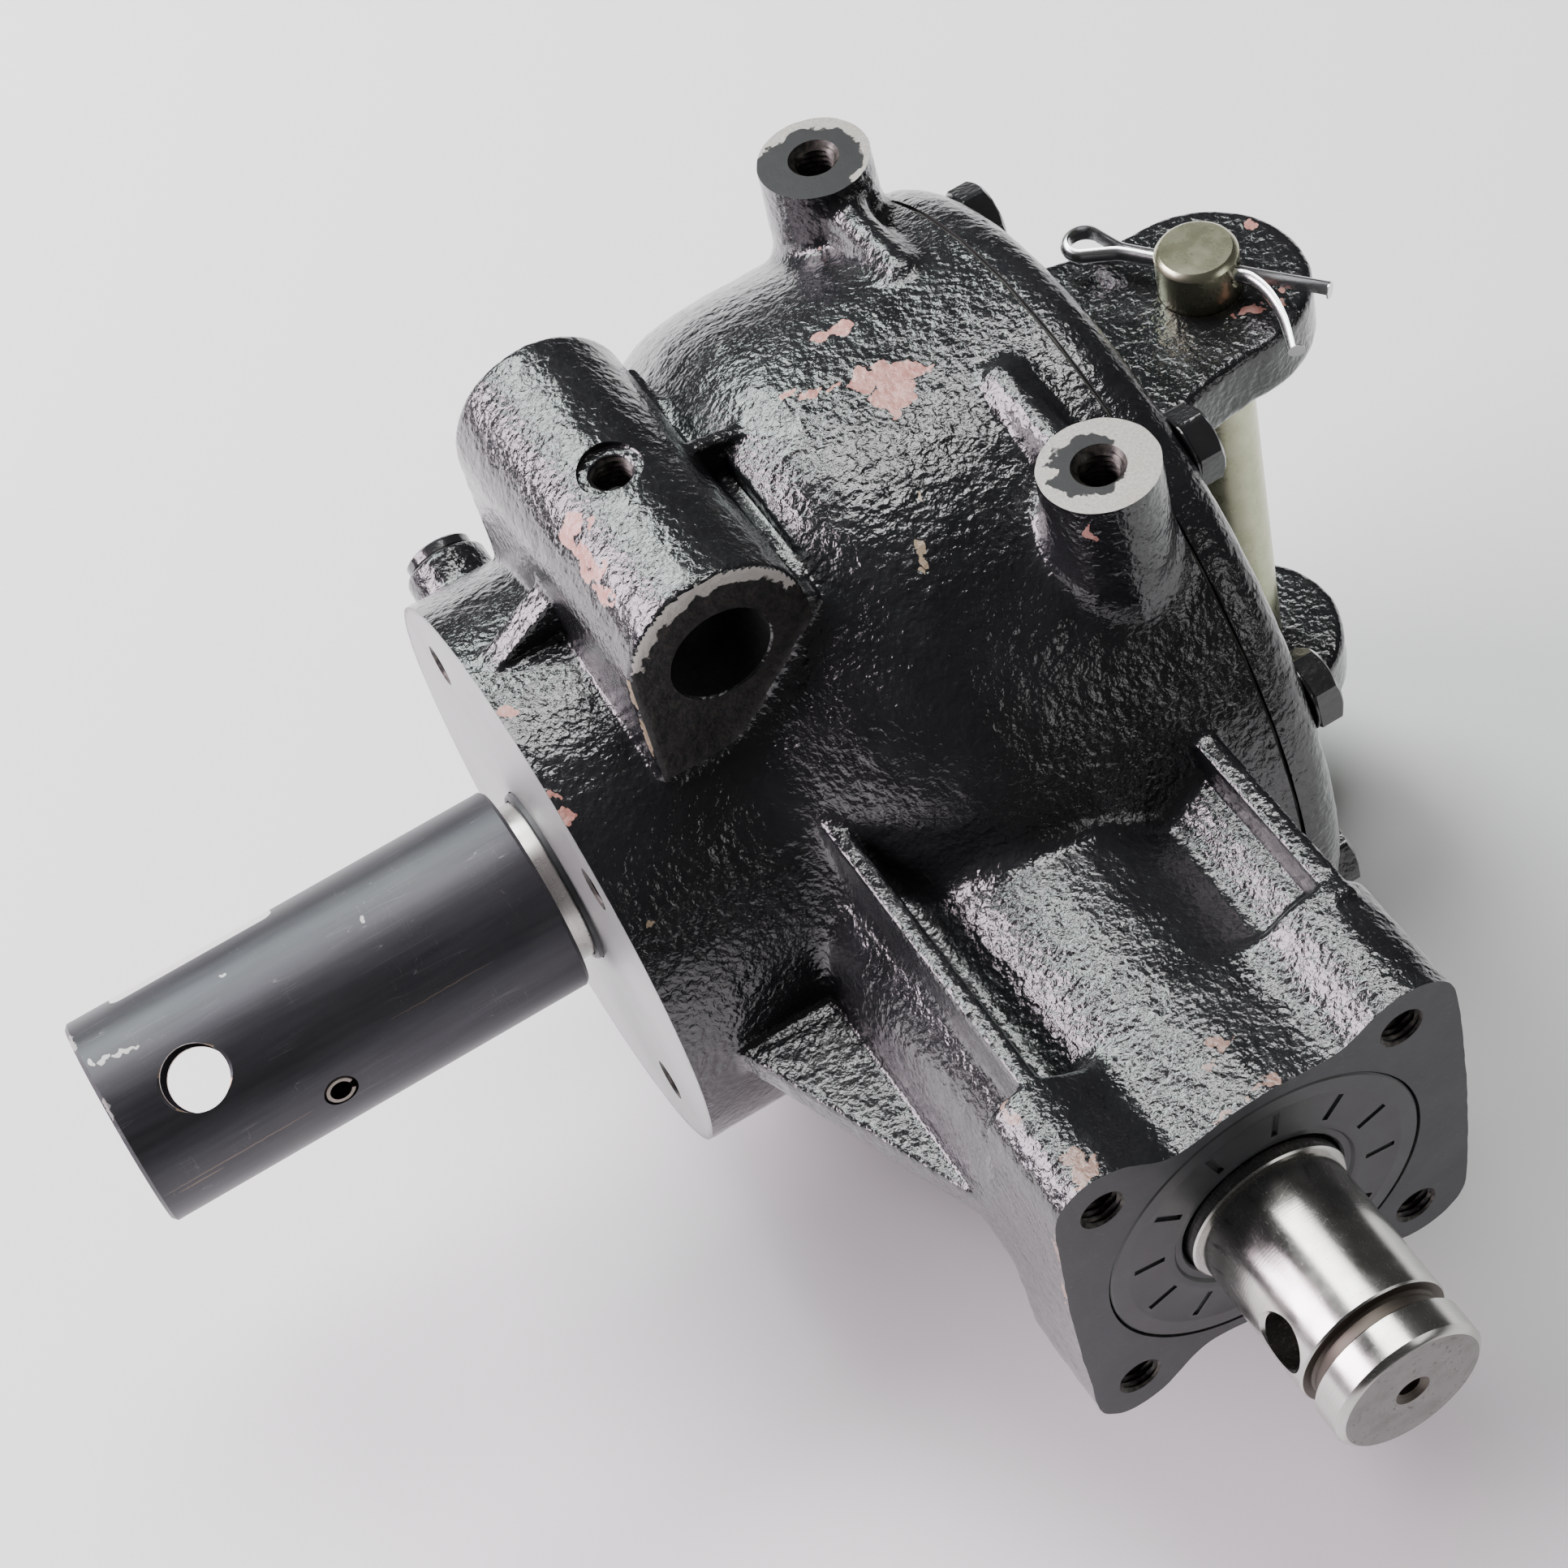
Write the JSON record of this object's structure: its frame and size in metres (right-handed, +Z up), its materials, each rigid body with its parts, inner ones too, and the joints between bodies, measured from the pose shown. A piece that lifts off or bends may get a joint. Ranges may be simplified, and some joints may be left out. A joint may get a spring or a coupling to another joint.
{
  "type": "right-angle bevel gearbox",
  "caption": "Right-angle bevel gearbox with a pinned output sleeve, flanged input shaft, handle socket and lifting clevis, as used on post hole augers.",
  "frame": {"origin": "bottom centre of the whole part's bounding box, with the clevis pin upright", "axes": "+X from the output sleeve towards the clevis, along the output axis; +Y from the input shaft towards the back, along the input axis; +Z up, along the clevis pin"},
  "size_m": [0.3238, 0.3188, 0.2135],
  "materials": {
    "housing_paint": "gloss black enamel over salmon primer on coarse sand-cast iron; machined faces bare or thinly oversprayed",
    "gasket_paper": "dark fibre gasket edge",
    "bolt_black": "black-painted hex heads with paint-filled corners",
    "input_steel": "ground and polished steel with fine turning marks",
    "shaft_steel": "turned steel",
    "gear_steel": "machined gear steel with a light oil film",
    "bearing_steel": "ground bearing steel",
    "seal_rubber": "satin dark grey nitrile, radial slots dark",
    "sleeve_oxide": "satin black-oxide steel with fine handling scratches",
    "spring_pin_oxide": "dark spring steel",
    "plug_zinc": "zinc plated",
    "clevis_zinc": "olive-yellow zinc plating",
    "cotter_zinc": "bright zinc plating"
  },
  "bodies": {
    "housing": {"gear_housing": "housing_paint", "rear_cover": "housing_paint", "cover_gasket": "gasket_paper", "cover_bolt_1": "bolt_black", "cover_bolt_2": "bolt_black", "cover_bolt_3": "bolt_black", "cover_bolt_4": "bolt_black", "cover_bolt_5": "bolt_black", "cover_bolt_6": "bolt_black", "cover_bolt_7": "bolt_black", "cover_bolt_8": "bolt_black", "input_oil_seal": "seal_rubber", "output_oil_seal": "seal_rubber", "output_bearing_hub_cup": "bearing_steel", "output_bearing_cover_cup": "bearing_steel", "input_bearing_inner_cup": "bearing_steel", "input_bearing_outer_cup": "bearing_steel", "input_cup_spacer": "shaft_steel", "fill_plug": "plug_zinc", "drain_plug": "plug_zinc"},
    "output": {"output_shaft": "shaft_steel", "crown_gear": "gear_steel", "crown_gear_key": "shaft_steel", "output_sleeve": "sleeve_oxide", "sleeve_spring_pin": "spring_pin_oxide", "output_bearing_hub_cone": "bearing_steel", "output_bearing_cover_cone": "bearing_steel"},
    "input": {"input_pinion_shaft": "input_steel", "input_bearing_inner_cone": "bearing_steel", "input_bearing_outer_cone": "bearing_steel", "input_bearing_spacer": "shaft_steel", "input_retaining_nut": "shaft_steel"},
    "hub_cage": {"output_bearing_hub_rollers": "bearing_steel"},
    "cover_cage": {"output_bearing_cover_rollers": "bearing_steel"},
    "input_inner_cage": {"input_bearing_inner_rollers": "bearing_steel"},
    "input_outer_cage": {"input_bearing_outer_rollers": "bearing_steel"},
    "lift_pin": {"clevis_pin": "clevis_zinc", "cotter_pin": "cotter_zinc"}
  },
  "joints": [
    {"name": "output_spin", "type": "hinge", "parent": "housing", "child": "output", "pos_m": [-0.1058, 0.05795, 0.104], "axis": [-1, 0, 0], "continuous": true},
    {"name": "input_spin", "type": "hinge", "parent": "housing", "child": "input", "pos_m": [0.0342, -0.13205, 0.104], "axis": [0, -1, 0], "continuous": true},
    {"name": "hub_cage_spin", "type": "hinge", "parent": "housing", "child": "hub_cage", "pos_m": [-0.0228, 0.05795, 0.104], "axis": [-1, 0, 0], "continuous": true},
    {"name": "cover_cage_spin", "type": "hinge", "parent": "housing", "child": "cover_cage", "pos_m": [0.0872, 0.05795, 0.104], "axis": [-1, 0, 0], "continuous": true},
    {"name": "input_inner_cage_spin", "type": "hinge", "parent": "housing", "child": "input_inner_cage", "pos_m": [0.0342, -0.03605, 0.104], "axis": [0, -1, 0], "continuous": true},
    {"name": "input_outer_cage_spin", "type": "hinge", "parent": "housing", "child": "input_outer_cage", "pos_m": [0.0342, -0.08705, 0.104], "axis": [0, -1, 0], "continuous": true},
    {"name": "lift_pin_turn", "type": "hinge", "parent": "housing", "child": "lift_pin", "pos_m": [0.1369, 0.05795, 0.104], "axis": [0, 0, 1], "continuous": true}
  ],
  "couplings": [
    {"joint": "input_spin", "follows": "output_spin", "ratio": 3},
    {"joint": "hub_cage_spin", "follows": "output_spin", "ratio": 0.4167},
    {"joint": "cover_cage_spin", "follows": "output_spin", "ratio": 0.4179},
    {"joint": "input_inner_cage_spin", "follows": "output_spin", "ratio": 1.2537},
    {"joint": "input_outer_cage_spin", "follows": "output_spin", "ratio": 1.2537}
  ]
}
